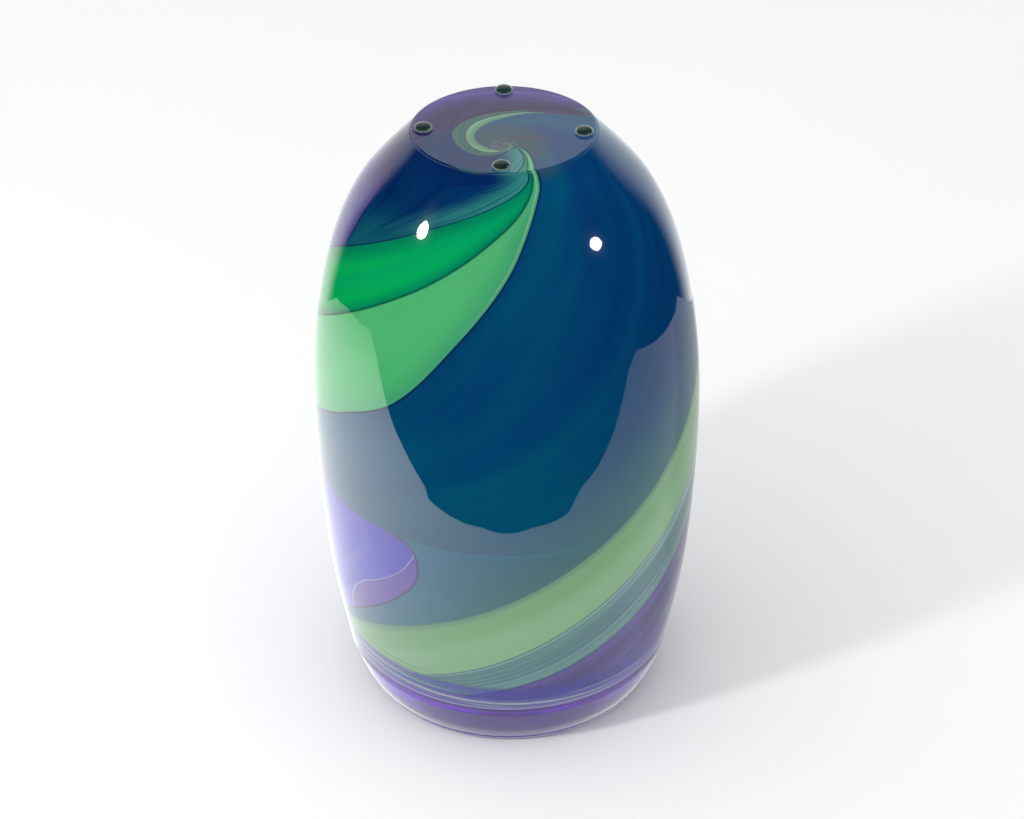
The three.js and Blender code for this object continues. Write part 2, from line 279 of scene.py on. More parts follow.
def ribbon(name, left, right, start, end, material, notch=None, columns=28):
    """A ribbon of the colour layer between two seams.

    A notch is (at, seam): below s = at, the ribbon's left edge moves in to that seam.
    """
    s = np.arange(0, math.ceil((end - start) / RIBBON_STEP) + 1) * RIBBON_STEP + start
    s = np.clip(s, start, end)
    if notch:
        at, edge = notch
        s = np.unique(np.append(s, at))
    share = np.linspace(0, 1, columns + 1)
    a = left(s)
    b = right(s)
    cells = np.ones((len(s) - 1, columns), bool)
    if notch:
        left_at, edge_at, right_at = (line(np.array([at]))[0] for line in (left, edge, right))
        corner = (edge_at - left_at) / (right_at - left_at)
        cut = columns // 2
        share = np.concatenate([np.linspace(0, corner, cut + 1),
                                np.linspace(corner, 1, columns - cut + 1)[1:]])
    angles = a[:, None] + (b - a)[:, None] * share[None, :]
    if notch:
        low = s > at
        e = edge(s[low])
        across = (share[cut:] - share[cut]) / (1 - share[cut])
        angles[low, cut:] = e[:, None] + (b[low] - e)[:, None] * across[None, :]
        angles[low, :cut] = e[:, None]
        cells[s[:-1] >= at, :cut] = False
    r = layer_point(s)[0]
    width = np.radians(b - a) * r
    along = (angles - a[:, None]) / np.maximum(b - a, LEAST_TURN)[:, None] * width.mean()
    near_a = edge_distance(angles, left, s, r)
    if notch:
        near_a[low] = edge_distance(angles[low], edge, s[low], r[low])
    near_b = edge_distance(angles, right, s, r)
    gap = np.degrees(SEAM_GAP / r)[:, None]
    inset = angles + gap * (1 - 2 * share[None, :])
    outer = layer_grid(s, SHEET_HALF, inset)
    inner = layer_grid(s, -SHEET_HALF, inset)
    points, faces, used = thickened(outer, inner, cells)
    where = used % angles.size
    down = np.broadcast_to(s[:, None], angles.shape)
    uvs = {
        "flow": np.column_stack([along.ravel(), down.ravel()])[where] * MM,
        "edge": np.column_stack([near_a.ravel(), near_b.ravel()])[where] * MM,
    }
    return piece(name, points, faces, material, uvs)


# --- Materials -----------------------------------------------------------------------------------

class Glass:
    """A node tree with short calls for its nodes. Values may be numbers, colours or sockets."""

    def __init__(self, name):
        self.material = bpy.data.materials.new(name)
        self.material.use_nodes = True
        self.tree = self.material.node_tree
        self.tree.nodes.clear()
        self.output = self.tree.nodes.new("ShaderNodeOutputMaterial")

    def node(self, kind, inputs=None, **settings):
        made = self.tree.nodes.new("ShaderNode" + kind)
        for key, value in settings.items():
            setattr(made, key, value)
        for key, value in (inputs or {}).items():
            self.put(made.inputs[key], value)
        return made

    def put(self, socket, value):
        if isinstance(value, bpy.types.NodeSocket):
            self.tree.links.new(value, socket)
        elif isinstance(value, (tuple, list)) and len(value) == 3 and socket.type == "RGBA":
            socket.default_value = (*value, 1)
        else:
            socket.default_value = value

    def math(self, operation, a, b=0.0, clamp=False):
        return self.node("Math", {0: a, 1: b}, operation=operation, use_clamp=clamp).outputs[0]

    def plus(self, a, b, clamp=False):
        return self.math("ADD", a, b, clamp)

    def minus(self, a, b):
        return self.math("SUBTRACT", a, b)

    def times(self, a, b):
        return self.math("MULTIPLY", a, b)

    def smooth(self, value, low, high, start=0.0, end=1.0):
        inputs = {"Value": value, "From Min": low, "From Max": high, "To Min": start, "To Max": end}
        return self.node("MapRange", inputs, interpolation_type="SMOOTHSTEP").outputs[0]

    def blend(self, share, a, b):
        return self.node("Mix", {0: share, 6: a, 7: b}, data_type="RGBA").outputs[2]

    def uv(self, layer):
        parts = self.node("SeparateXYZ", {0: self.node("UVMap", uv_map=layer).outputs[0]})
        return parts.outputs[0], parts.outputs[1]

    def position(self):
        parts = self.node("SeparateXYZ", {0: self.node("NewGeometry").outputs["Position"]})
        return parts.outputs[0], parts.outputs[1], parts.outputs[2]

    def noise(self, x, y, z=0.0, detail=3.0, roughness=0.5, distortion=0.0):
        vector = self.node("CombineXYZ", {0: x, 1: y, 2: z}).outputs[0]
        inputs = {"Vector": vector, "Scale": 1.0, "Detail": detail, "Roughness": roughness,
                  "Distortion": distortion}
        return self.node("TexNoise", inputs).outputs[0]

    def ramp(self, share, stops):
        made = self.node("ValToRGB", {0: share})
        elements = made.color_ramp.elements
        while len(elements) < len(stops):
            elements.new(0.5)
        for element, (position, colour) in zip(elements, stops):
            element.position = position
            element.color = (*colour, 1)
        return made.outputs[0]

    def shader(self, kind, **inputs):
        return self.node("Bsdf" + kind, {k.replace("_", " "): v for k, v in inputs.items()}).outputs[0]

    def mix(self, share, a, b):
        return self.node("MixShader", {0: share, 1: a, 2: b}).outputs[0]

    def finish(self, surface, volume=None):
        self.put(self.output.inputs["Surface"], surface)
        if volume is not None:
            self.put(self.output.inputs["Volume"], volume)
        return self.material


def beneath(colour):
    """The albedo that a layer needs inside clear glass to look this colour from outside it.

    A share of the light enters through the surface. Of what the layer scatters, a share leaves, and
    the rest is kept inside and falls on the layer again.
    """
    entering, leaving, kept = 0.908, 0.4, 0.6
    return tuple(c / (entering * leaving + kept * c) for c in colour)


def clear_glass():
    g = Glass("clear_glass")
    surface = g.shader("Principled", Base_Color=(0.97, 0.99, 1.0), Roughness=0.0, IOR=IOR)
    surface.node.inputs["Transmission Weight"].default_value = 1.0
    return g.finish(surface)


def tinted_body(name, colour, density):
    """Glass of the same kind as its surroundings, so that it bends nothing and only takes up light."""
    g = Glass(name)
    surface = g.shader("Principled", Base_Color=(1.0, 1.0, 1.0), Roughness=0.0, IOR=1.0)
    surface.node.inputs["Transmission Weight"].default_value = 1.0
    volume = g.node("VolumeAbsorption", {"Color": colour, "Density": density}).outputs[0]
    return g.finish(surface, volume)


def layered(g, colour, density, glow, tint=(1.0, 1.0, 1.0)):
    """Coloured glass that scatters part of the light back, lets part through and leaves part clear."""
    scatter = g.mix(glow, g.shader("Diffuse", Color=colour), g.shader("Translucent", Color=colour))
    return g.mix(density, g.shader("Transparent", Color=tint), scatter)


def frayed(g, density):
    """The density of a ribbon, which runs out in streaks at its lower end."""
    x, y, z = g.position()
    threads = g.noise(g.times(x, 7.0), g.times(y, 7.0), g.times(z, 420.0))
    v = g.uv("flow")[1]
    reach = g.plus(v, g.times(g.minus(threads, 0.5), FRAY_REACH * MM))
    left = g.smooth(reach, FRAY_START * MM, FRAY_END * MM, 1.0, 0.0)
    return g.times(density, left)


def streaky(name, looks, line, density=1.0, glow=0.3, across=45.0, along=6.0, fine=0.15,
            spread=(0.3, 0.7), depth=0.0, seed=0.0, tint=(1.0, 1.0, 1.0), drift=None, extra=None):
    """Ribbon glass: its looks drawn out along it in streaks, with a thin line of colour at its edges.

    line is (colour, width in mm, on the left edge, on the right edge). fine is the share of fine
    streaks, and spread is the part of the noise that the looks cover. depth is how much the streaks
    change the density. drift (from, to, change) moves the looks on along the ribbon.
    extra(g, colour, u, v, threads) paints what only this ribbon has.
    """
    g = Glass(name)
    u, v = g.uv("flow")
    broad = g.noise(g.times(u, across), g.times(v, along), seed, 2.0, 0.45, 0.6)
    middle = g.noise(g.times(u, across * 4), g.times(v, along * 1.2), seed + 7, 2.0, 0.5)
    threads = g.noise(g.times(u, across * 12), g.times(v, along * 1.4), seed + 3, 3.0, 0.6)
    share = g.plus(g.times(broad, 1 - 2 * fine), g.times(middle, fine))
    share = g.plus(share, g.times(threads, fine))
    if drift:
        start, end, change = drift
        share = g.plus(share, g.smooth(v, start * MM, end * MM, 0.0, change))
    stops = [(k / max(len(looks) - 1, 1), beneath(c)) for k, c in enumerate(looks)]
    colour = g.ramp(g.smooth(share, *spread), stops)
    if extra:
        colour = extra(g, colour, u, v, threads)
    line_colour, width, *sides = line
    at_edge = 0.0
    for used, near in zip(sides, g.uv("edge")):
        if used:
            at_edge = g.math("MAXIMUM", at_edge, g.smooth(near, 0.1 * width * MM, width * MM, 1.0, 0.0))
    colour = g.blend(at_edge, colour, beneath(line_colour))
    opaque = density
    if depth:
        opaque = g.plus(density, g.times(g.minus(share, 0.5), depth), clamp=True)
    return g.finish(layered(g, colour, frayed(g, opaque), glow, tint))


def field_shades(g, colour, u, v, threads):
    """The field is greener above the lower green, lighter at its left, and smoky towards the eye."""
    left, right = g.uv("edge")
    low = g.smooth(v, 120 * MM, 180 * MM)
    green = g.times(low, g.smooth(right, 0.0, 34 * MM, 0.8, 0.0))
    green = g.times(green, g.smooth(threads, 0.25, 0.6, 0.6, 1.0))
    colour = g.blend(green, colour, beneath((0.001, 0.105, 0.105)))
    light = g.times(g.smooth(v, 130 * MM, 165 * MM), g.smooth(left, 0.0, 42 * MM, 0.6, 0.0))
    colour = g.blend(light, colour, beneath((0.001, 0.13, 0.26)))
    smoky = g.blend(g.smooth(threads, 0.4, 0.6), beneath((0.020, 0.060, 0.075)),
                    beneath((0.045, 0.062, 0.066)))
    colour = g.blend(g.smooth(v, 10 * MM, 25 * MM, 0.85, 0.0), colour, smoky)
    beside = g.smooth(g.math("ABSOLUTE", g.minus(u, FIELD_RED_U)), 0.0, 5 * MM, 1.0, 0.0)
    red = g.times(beside, g.smooth(v, 13 * MM, 19 * MM, 0.85, 0.0))
    return g.blend(red, colour, beneath((0.11, 0.015, 0.045)))


def shoulder_shades(g, colour, u, v, threads):
    """Teal threads run beside the emerald where both are drawn in to the eye."""
    near = g.smooth(g.uv("edge")[1], 0.0, 12 * MM, 0.95, 0.0)
    near = g.times(near, g.smooth(v, 38 * MM, 66 * MM, 1.0, 0.0))
    near = g.times(near, g.smooth(threads, 0.35, 0.55, 0.35, 1.0))
    return g.blend(near, colour, beneath((0.03, 0.29, 0.23)))


def violet_shades(g, colour, u, v, threads):
    """The violet panel: dark under the foot, with painted light over the shoulder for the rim's glow."""
    colour = g.blend(g.smooth(v, 38 * MM, 52 * MM, 0.75, 0.0), colour, beneath(VIOLET_DARK))
    # painted light: a lighter, bluer violet over the shoulder, standing in for background light that the
    # clear rim bends and reflects
    bright = g.times(g.smooth(v, 46 * MM, 62 * MM, 0.0, 0.9), g.smooth(v, 120 * MM, 180 * MM, 1.0, 0.0))
    return g.blend(bright, colour, beneath((0.26, 0.21, 0.97)))


def tapered(g, near, v, widest):
    """How far a strand gives way to violet. It comes to a point under the foot's edge, then opens again."""
    width = g.smooth(v, 20 * MM, 38 * MM, widest * MM, -0.5 * MM)
    gone = g.smooth(g.minus(near, width), 0.0, 0.6 * MM)
    return g.times(gone, g.smooth(v, 44 * MM, 56 * MM, 1.0, 0.0))


def aqua_shades(g, colour, u, v, threads):
    """Aqua is dark and threaded under the foot."""
    dark = g.blend(g.smooth(threads, 0.38, 0.58), beneath((0.02, 0.07, 0.09)),
                   beneath((0.04, 0.24, 0.17)))
    colour = g.blend(g.smooth(v, 36 * MM, 56 * MM, 0.85, 0.0), colour, dark)
    return g.blend(tapered(g, g.uv("edge")[0], v, 7.0), colour, beneath(VIOLET_DARK))


def emerald_shades(g, colour, u, v, threads):
    """Emerald darkens towards its seams."""
    above, below = g.uv("edge")
    dark = g.math("MAXIMUM", g.smooth(above, 0.0, 9 * MM, 0.75, 0.0),
                  g.smooth(below, 0.0, 6 * MM, 0.6, 0.0))
    return g.blend(dark, colour, beneath((0.001, 0.20, 0.10)))


def spring_shades(g, colour, u, v, threads):
    """Spring green is duller along its lower seam and carries a pale line down its neck."""
    above, below = g.uv("edge")
    colour = g.blend(g.smooth(below, 0.0, 9 * MM, 0.55, 0.0), colour, beneath((0.05, 0.48, 0.20)))
    # a pale line just inside the lower seam, down the neck
    pale_line = g.times(g.smooth(below, 0.6 * MM, 0.9 * MM),
                     g.smooth(below, 1.1 * MM, 1.6 * MM, 1.0, 0.0))
    neck = g.smooth(v, 60 * MM, 95 * MM, 0.7, 0.0)
    return g.blend(g.times(pale_line, neck), colour, beneath((0.45, 0.80, 0.45)))


def lower_spring_shades(g, colour, u, v, threads):
    """The lower green fades into blue glass along its upper edge."""
    above = g.uv("edge")[0]
    colour = g.blend(g.smooth(above, 0.0, 5 * MM, 0.6, 0.0), colour, beneath((0.04, 0.20, 0.14)))
    return g.blend(tapered(g, above, v, 6.0), colour, beneath(VIOLET_DARK))


def trail_glass():
    """Threads left along the wall above the lip: mostly clear violet, with blue, aqua and pale lines."""
    g = Glass("trail_glass")
    x, y, z = g.position()
    tilted = g.plus(z, g.times(x, 0.03))
    threads = g.noise(g.times(x, 6.0), g.times(y, 6.0), g.times(tilted, 560.0), 3.0, 0.65)
    other = g.noise(g.times(x, 9.0), g.times(y, 9.0), g.times(tilted, 190.0), 2.0, 0.5)
    colour = g.ramp(threads, [(0.34, beneath((0.07, 0.04, 0.30))), (0.44, beneath((0.10, 0.10, 0.88))),
                              (0.50, beneath((0.22, 0.13, 0.70))), (0.55, beneath((0.10, 0.30, 0.36))),
                              (0.62, beneath((0.90, 0.92, 0.95)))])
    density = g.plus(g.smooth(other, 0.4, 0.6, 0.25, 0.7), g.smooth(threads, 0.56, 0.62, 0.0, 0.3))
    pale = g.times(g.smooth(z, LIP_TOP + 1.9 * MM, LIP_TOP + 2.3 * MM),
                   g.smooth(z, LIP_TOP + 2.9 * MM, LIP_TOP + 3.4 * MM, 1.0, 0.0))
    colour = g.blend(pale, colour, beneath((0.60, 0.56, 0.90)))
    dark = g.smooth(z, LIP_TOP + 0.7 * MM, LIP_TOP + 1.5 * MM, 1.0, 0.0)
    colour = g.blend(dark, colour, beneath((0.04, 0.015, 0.10)))
    density = g.math("MAXIMUM", density, g.times(g.math("MAXIMUM", dark, pale), 0.85), clamp=True)
    return g.finish(layered(g, colour, density, 0.4, (0.85, 0.80, 1.0)))


def window_glass():
    """The violet window. A pale curved line runs through it from the tip, with darker glass below it."""
    g = Glass("violet_window_glass")
    u, v = g.uv("flow")
    near = g.uv("edge")[1]
    down = g.math("DIVIDE", g.minus(v, WINDOW_TIP * MM), (PALE_LINE_END - WINDOW_TIP) * MM, clamp=True)
    wave = g.noise(g.times(u, 60.0), g.times(v, 60.0), 9.0, 2.0)
    depth = g.plus(PALE_LINE_DEPTH * MM, g.times(g.minus(wave, 0.5), 5 * MM))
    # how far in from the window's edge the pale curved line lies
    pale_line_inset = g.times(g.math("SINE", g.times(down, math.pi)), depth)
    inside = g.minus(pale_line_inset, near)
    soft = g.noise(g.times(u, 45.0), g.times(v, 14.0), 4.0, 2.0, 0.5, 0.5)
    colour = g.ramp(soft, [(0.3, beneath((0.05, 0.03, 0.86))), (0.7, beneath((0.12, 0.09, 0.97)))])
    colour = g.blend(g.smooth(inside, 0.0, 1.5 * MM, 0.0, 0.8), colour, beneath((0.17, 0.07, 0.50)))
    line = g.smooth(g.math("ABSOLUTE", inside), 0.2 * MM, 0.6 * MM, 0.8, 0.0)
    colour = g.blend(line, colour, beneath((0.50, 0.55, 0.98)))
    rim = g.smooth(near, 0.0, 1.2 * MM, 0.7, 0.0)
    colour = g.blend(rim, colour, beneath((0.05, 0.035, 0.45)))
    return g.finish(layered(g, colour, frayed(g, 0.88), 0.45, VIOLET_TINT))


def pad_rubber():
    """Clear soft plastic with a faint unevenness."""
    g = Glass("clear_pad")
    bump = g.node("Bump", {"Strength": 0.15, "Distance": 0.0002,
                           "Height": g.node("TexNoise", {"Scale": 900.0, "Detail": 2.0}).outputs[0]})
    surface = g.shader("Principled", Base_Color=(0.9, 0.93, 0.9), Roughness=0.06, IOR=1.46,
                       Normal=bump.outputs[0])
    surface.node.inputs["Transmission Weight"].default_value = 1.0
    return g.finish(surface)


def adhesive():
    """The sticky disc under a pad: painted dark in the middle, with a painted pale ring at its edge."""
    g = Glass("pad_adhesive")
    out = g.uv("flow")[0]
    grain = g.node("TexNoise", {"Scale": 1500.0, "Detail": 3.0}).outputs[0]
    # painted dark: stands in for the dark glass of the vase seen through the clear pad
    colour = g.blend(g.smooth(grain, 0.35, 0.65), (0.01, 0.03, 0.02), (0.03, 0.12, 0.06))
    # painted light: a pale ring that stands in for the bright ring at the pad's clear rim
    colour = g.blend(g.smooth(out, 0.70, 0.80), colour, (0.55, 0.62, 0.58))
    return g.finish(layered(g, colour, g.smooth(grain, 0.3, 0.7, 0.6, 0.85), 0.3))


def eye_glass():
    """The ribbons' colours wound up into the middle. Unwound, u runs from 0 to 1 round the eye."""
    g = Glass("eye_glass")
    u, v = g.uv("flow")
    turn = g.math("FRACT", u)
    angle = g.times(u, math.tau)
    across = g.times(g.math("COSINE", angle), 5.0)
    back = g.times(g.math("SINE", angle), 5.0)
    threads = g.noise(across, back, g.times(v, 60.0), 4.0, 0.6, 0.3)
    smoky = beneath((0.045, 0.065, 0.075))
    ribbons = g.ramp(turn, [(0.0, smoky), (0.64, smoky), (0.69, beneath((0.08, 0.34, 0.20))),
                            (0.75, beneath((0.07, 0.25, 0.20))), (0.80, beneath((0.05, 0.14, 0.19))),
                            (0.87, beneath((0.02, 0.05, 0.12))), (0.95, beneath((0.02, 0.06, 0.12))),
                            (0.985, beneath((0.04, 0.34, 0.20)))])
    wisps = g.ramp(threads, [(0.36, beneath((0.02, 0.05, 0.10))), (0.5, beneath((0.06, 0.07, 0.08))),
                             (0.6, beneath((0.16, 0.30, 0.32)))])
    return g.finish(layered(g, g.blend(0.5, ribbons, wisps), 0.97, 0.2))


NAVY_LINE = (0.003, 0.012, 0.075)
VIOLET_TINT = (0.62, 0.55, 0.97)
VIOLET_DARK = (0.035, 0.012, 0.10)
LINING_COLOUR = (0.25, 0.16, 0.86)
LINING_DENSITY = 190.0          # how strongly the lining takes up light, for each metre
LIP_COLOUR = (0.64, 0.10, 0.92)
LIP_DENSITY = 220.0
FIELD_RED_U = 62 * MM           # where the reddish streak lies across the field
PALE_LINE_END = 261                  # the window's pale line leaves its edge at the tip and meets it again here
PALE_LINE_DEPTH = 13                 # and lies this far inside it at most

navy = streaky(
    "navy_glass",
    [(0.001, 0.030, 0.135), (0.001, 0.050, 0.160), (0.001, 0.066, 0.155), (0.001, 0.086, 0.165)],
    (NAVY_LINE, 1.3, True, False), glow=0.25, across=22, along=4, fine=0.1, spread=(0.30, 0.78),
    seed=2, drift=(100, 190, 0.12), extra=field_shades)
shoulder_navy = streaky(
    "shoulder_navy_glass",
    [(0.001, 0.012, 0.080), (0.001, 0.028, 0.10), (0.003, 0.062, 0.110), (0.005, 0.090, 0.130)],
    (NAVY_LINE, 1.0, True, True), glow=0.2, across=50, along=7, seed=5, spread=(0.3, 0.85),
    drift=(45, 78, 0.25), extra=shoulder_shades)
emerald = streaky(
    "emerald_glass",
    [(0.001, 0.41, 0.14), (0.001, 0.62, 0.14), (0.002, 0.72, 0.11)],
    ((0.001, 0.09, 0.06), 1.0, False, True), glow=0.35, seed=8, drift=(40, 110, 0.1),
    extra=emerald_shades)
spring = streaky(
    "spring_glass",
    [(0.05, 0.69, 0.19), (0.06, 0.82, 0.18), (0.10, 0.90, 0.22)],
    ((0.02, 0.25, 0.08), 0.7, True, False), glow=0.35, across=40, along=5, seed=11,
    drift=(40, 110, 0.12), extra=spring_shades)
lower_spring = streaky(
    "lower_spring_glass",
    [(0.16, 0.50, 0.16), (0.21, 0.60, 0.21), (0.27, 0.68, 0.28)],
    ((0.04, 0.16, 0.12), 0.5, True, False), glow=0.35, across=40, along=5, seed=14,
    extra=lower_spring_shades)
aqua = streaky(
    "aqua_glass",
    [(0.08, 0.30, 0.30), (0.16, 0.55, 0.44), (0.30, 0.72, 0.58), (0.82, 0.97, 0.93)],
    ((0.03, 0.08, 0.12), 0.8, True, True), 0.80, 0.5, across=70, along=5, fine=0.3,
    spread=(0.40, 0.61), depth=1.2, seed=17, tint=(0.80, 0.97, 0.97), extra=aqua_shades)
violet = streaky(
    "violet_panel_glass",
    [(0.07, 0.035, 0.25), (0.12, 0.07, 0.44), (0.20, 0.14, 0.72)],
    ((0.05, 0.04, 0.45), 1.0, True, True), 0.55, 0.6, across=40, along=6, depth=0.4, seed=21,
    tint=VIOLET_TINT, extra=violet_shades)
window = window_glass()


# --- Pieces --------------------------------------------------------------------------------------

def moved(line, gap):
    """A profile moved square to itself, to the left of its direction, and kept on its side of the axis."""
    step = np.gradient(line, axis=0)
    step /= np.linalg.norm(step, axis=1)[:, None]
    out = line + gap * np.column_stack([-step[:, 1], step[:, 0]])
    out[:, 0] = np.maximum(out[:, 0], 0)
    return out


def lip_line():
    """The lip's profile, from the cavity round the resting flat to the outside."""
    flat_in, flat_out = LIP_FLAT
    inner = spline(LIP_INNER, 10)
    outer = spline(LIP_OUTER, 10)
    return np.vstack([
        inner[:-1],
        arc((flat_in, LIP_ROUND), LIP_ROUND, 180, 270),
        arc((flat_out, LIP_ROUND), LIP_ROUND, 270, 360),
        outer[1:],
    ])


def glass_wall():
    """The whole glass surface: the cavity, the lip, the outside and the ground foot."""
    top = HEIGHT / MM
    foot = [(FOOT_RADIUS, top - FOOT_BEVEL), (FOOT_RADIUS - FOOT_BEVEL, top), (0, top)]
    outside = spline(OUTSIDE, 24)
    outside[-1, 1] = top - FOOT_BEVEL
    profile = np.vstack([spline(CAVITY, 20)[:-1], lip_line()[:-1], outside[:-1], foot])
    return piece("clear_wall", *turned(profile), clear_glass(), sharp=30)


def core_body():
    """The violet lining, between the cavity and the colour layer."""
    s = np.linspace(0, layer_s[-1], 100)
    outer = np.column_stack(layer_point(s, -SHEET_HALF - LINING_GAP))
    inner = moved(spline(CAVITY, 12), LINING_GAP)
    profile = np.vstack([inner, outer[::-1]])
    profile[0, 0] = profile[-1, 0] = 0
    material = tinted_body("violet_core_glass", LINING_COLOUR, LINING_DENSITY)
    return piece("violet_lining", *turned(profile, 128), material)


def lip_body():
    """The violet lip, just inside the surface of the glass."""
    line = moved(lip_line(), LIP_GAP)
    line = line[line[:, 1] < LIP_TOP / MM - LIP_CUT]
    return piece("violet_lip", *turned(line, 128), tinted_body("lip_glass", LIP_COLOUR, LIP_DENSITY))


def trails():
    """A thin shell inside the lining that carries the threads, from behind the ribbons to the lip."""
    s = np.linspace(TRAIL_START, layer_s[-1] - 0.5, 40)
    outer, inner = (np.column_stack(layer_point(s, -depth)) for depth in TRAIL_DEPTHS)
    return piece("ribbon_trails", *turned(np.vstack([outer, inner[::-1]]), 192), trail_glass())


def eye():
    """The knot on the axis where the ribbons meet: a thin lens whose rim reaches into their ends."""
    rings, around = 12, 48
    wound = np.radians(np.arange(around + 1) * 360 / around)
    s = np.broadcast_to(np.linspace(0, EYE_RADIUS, rings + 1)[:, None], (rings + 1, around + 1))
    lift = np.sqrt(np.maximum(1 - (s / (EYE_RADIUS + EYE_RIM)) ** 2, 0)) * SHEET_HALF
    grids = []
    for side in (1, -1):
        z = layer_point(s, side * lift)[1]
        grids.append(polar(np.maximum(s, EYE_MIDDLE), np.degrees(wound)[None, :], z))
    turns = EYE_WINDING * np.log(np.maximum(s, EYE_CORE) / EYE_RADIUS)
    unwound = wound[None, :] + turns - math.radians(SPRING_FIELD[0][1])
    uv = np.column_stack([unwound.ravel() / math.tau, s.ravel() * MM])
    points, faces, used = thickened(*grids, np.ones((rings, around), bool))
    return piece("spiral_eye", points, faces, eye_glass(), {"flow": uv[used % s.size]})


def pad(place):
    """The dome of a clear bumper pad, on an upright skirt."""
    low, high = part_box("bumper_pad_" + place)
    low.z = HEIGHT - PAD_SINK
    radius = (high.x - low.x) / 2 / MM
    rise = (high.z - low.z) / MM
    skirt = PAD_SKIRT * rise
    t = np.radians(np.linspace(0, 90, 16))
    dome = np.column_stack([radius * np.cos(t), skirt + (rise - skirt) * np.sin(t)])
    profile = np.vstack([[(0, 0), (radius - PAD_BEVEL, 0), (radius, PAD_BEVEL)], dome])
    profile[-1, 0] = 0
    points, faces = turned(profile, 48)
    points = points + np.array([(low.x + high.x) / 2, (low.y + high.y) / 2, low.z]) / MM
    return piece("pad_dome_" + place, points, faces, pad_rubber_material)


def film(place):
    """The adhesive disc under a pad. Its u runs from 0 in the middle to 1 at the edge."""
    low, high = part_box("pad_film_" + place)
    radius = (high.x - low.x) / 2 / MM
    rise = (high.z - low.z) / MM
    rim = radius - FILM_BEVEL
    profile = [(0, 0), (rim, 0), (radius, FILM_BEVEL), (radius, rise - FILM_BEVEL), (rim, rise), (0, rise)]
    points, faces = turned(profile, 48)
    out = np.hypot(points[:, 0], points[:, 1]) / radius
    points = points + np.array([(low.x + high.x) / 2, (low.y + high.y) / 2, low.z]) / MM
    uvs = {"flow": np.column_stack([out, np.zeros(len(out))])}
    return piece("pad_adhesive_" + place, points, faces, adhesive_material, uvs)


def window_edge(s):
    """The right edge of the window, with its upper corner rounded into a tip."""
    t = np.clip((WINDOW_TIP - s) / (WINDOW_TIP - WINDOW_TOP), 0, 1)
    return seam(WINDOW_EDGE)(s) - TIP_TURN * (1 - np.sqrt(1 - t**2))


shoulder_emerald = seam(SHOULDER_EMERALD)
shoulder_emerald_behind = seam(SHOULDER_EMERALD, 360)
emerald_spring = seam(EMERALD_SPRING)
spring_field = seam(SPRING_FIELD)
field_green = seam(FIELD_GREEN)
green_aqua = seam(GREEN_AQUA)
aqua_violet = seam(AQUA_VIOLET)
violet_shoulder = seam(VIOLET_SHOULDER)


def shoulder_left(s):
    """The shoulder starts at the aqua, and further out at the violet panel."""
    return np.where(s < VIOLET_START, aqua_violet(s), np.maximum(violet_shoulder(s), aqua_violet(s)))


def panel_right(s):
    """The violet panel ends at the shoulder, and past the shoulder's end at the emerald."""
    top = np.minimum(violet_shoulder(s), shoulder_emerald_behind(s))
    return np.where(s < SHOULDER_END, top, shoulder_emerald_behind(s))


pad_rubber_material = pad_rubber()
adhesive_material = adhesive()

stand_ins = [
    (glass_wall(), ["clear_casing"], "clear_glass"),
    (core_body(), ["violet_core"], "violet_glass"),
    (lip_body(), ["lip_wrap"], "lip_glass"),
    (eye(), ["swirl_eye"], "eye_glass"),
    (ribbon("field_ribbon", spring_field, field_green, RIBBON_START, RIBBON_END, navy,
            notch=(WINDOW_TOP, window_edge), columns=60), ["navy_field"], "navy_glass"),
    (ribbon("shoulder_ribbon", shoulder_left, shoulder_emerald_behind, RIBBON_START, SHOULDER_END,
            shoulder_navy, columns=36), ["navy_shoulder"], "navy_glass"),
    (ribbon("violet_panel_glass", aqua_violet, panel_right, VIOLET_START, RIBBON_END, violet, columns=40),
     ["violet_panel"], "violet_panel_glass"),
    (ribbon("violet_window_glass", spring_field, window_edge, WINDOW_TOP, RIBBON_END, window, columns=40),
     ["violet_window"], "violet_panel_glass"),
    (ribbon("emerald_glass_ribbon", shoulder_emerald, emerald_spring, RIBBON_START, RIBBON_END, emerald),
     ["emerald_ribbon"], "emerald_glass"),
    (ribbon("spring_glass_ribbon", emerald_spring, spring_field, RIBBON_START, RIBBON_END, spring),
     ["spring_ribbon_upper"], "spring_glass"),
    (ribbon("lower_spring_glass_ribbon", field_green, green_aqua, RIBBON_START, RIBBON_END,
            lower_spring), ["spring_ribbon_lower"], "spring_glass"),
    (ribbon("aqua_glass_ribbon", green_aqua, aqua_violet, RIBBON_START, RIBBON_END, aqua),
     ["aqua_ribbon"], "aqua_glass"),
]
trail_shell = trails()          # stands for no CAD node: it only carries the threads
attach(trail_shell, "root")

for place in PADS:
    stand_ins.append((pad(place), ["bumper_pad_" + place], "pad"))
    stand_ins.append((film(place), ["pad_film_" + place], "pad_film"))

for obj, nodes, slot in stand_ins:
    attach(obj, "root")
    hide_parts(*nodes)


# --- Setting -------------------------------------------------------------------------------------

FLOOR_HALF = 9.0
FLOOR_DROP = 0.0002             # the floor lies this far under the lip
TABLE_TOP = 0.001
WALL_AT = 0.34
WALL_TOP = 1.2
WALL_ENDS = (-0.8, 1.3)
WALL_LEVEL = 1.4                # at the table, less 1 for each metre up
WALL_LEAST = 0.6
